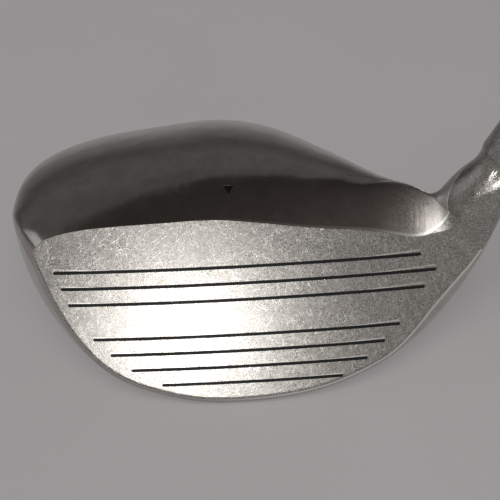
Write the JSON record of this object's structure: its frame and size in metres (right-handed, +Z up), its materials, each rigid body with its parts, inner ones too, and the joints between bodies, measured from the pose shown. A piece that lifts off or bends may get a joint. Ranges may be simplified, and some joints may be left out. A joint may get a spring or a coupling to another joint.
{
  "type": "fairway wood",
  "caption": "Right-handed fairway wood: hollow steel head with scored face and sole plate, bonded stepped steel shaft, ferrule and tapered rubber grip.",
  "frame": {"origin": "on the flat land under the sole, straight below the middle of the face, where the head rests on the ground at address", "axes": "+X from toe to heel, +Y from the face to the back of the head, +Z up; the shaft axis lies in the plane Y = 0 and leans 59 degrees from the ground towards +X"},
  "size_m": [0.6298, 0.0837, 0.8968],
  "materials": {
    "head_steel": "satin bead-blasted stainless, worn",
    "sole_steel": "satin",
    "screw_steel": "machined",
    "foam": "open rigid foam",
    "plug_plastic": "moulded",
    "epoxy": "cured adhesive",
    "brass": "turned",
    "shaft_chrome": "polished chrome plate",
    "ferrule_plastic": "polished",
    "band_foil": "printed foil, plain",
    "tape": "paper tape",
    "grip_rubber": "textured",
    "cap_rubber": "smooth",
    "mark_paint": "satin enamel",
    "line_paint": "satin enamel"
  },
  "bodies": {
    "root": {"head_casting": "head_steel", "sole_plate": "sole_steel", "port_screw": "screw_steel", "foam_core": "foam", "hosel_plug": "plug_plastic", "epoxy_sleeve": "epoxy", "tip_weight": "brass", "shaft": "shaft_chrome", "ferrule": "ferrule_plastic", "shaft_band": "band_foil", "grip_tape": "tape", "grip": "grip_rubber", "grip_end_cap": "cap_rubber", "alignment_mark": "mark_paint", "scoreline_paint_1": "line_paint", "scoreline_paint_2": "line_paint", "scoreline_paint_3": "line_paint", "scoreline_paint_4": "line_paint", "scoreline_paint_5": "line_paint", "scoreline_paint_6": "line_paint", "scoreline_paint_7": "line_paint"}
  },
  "joints": []
}
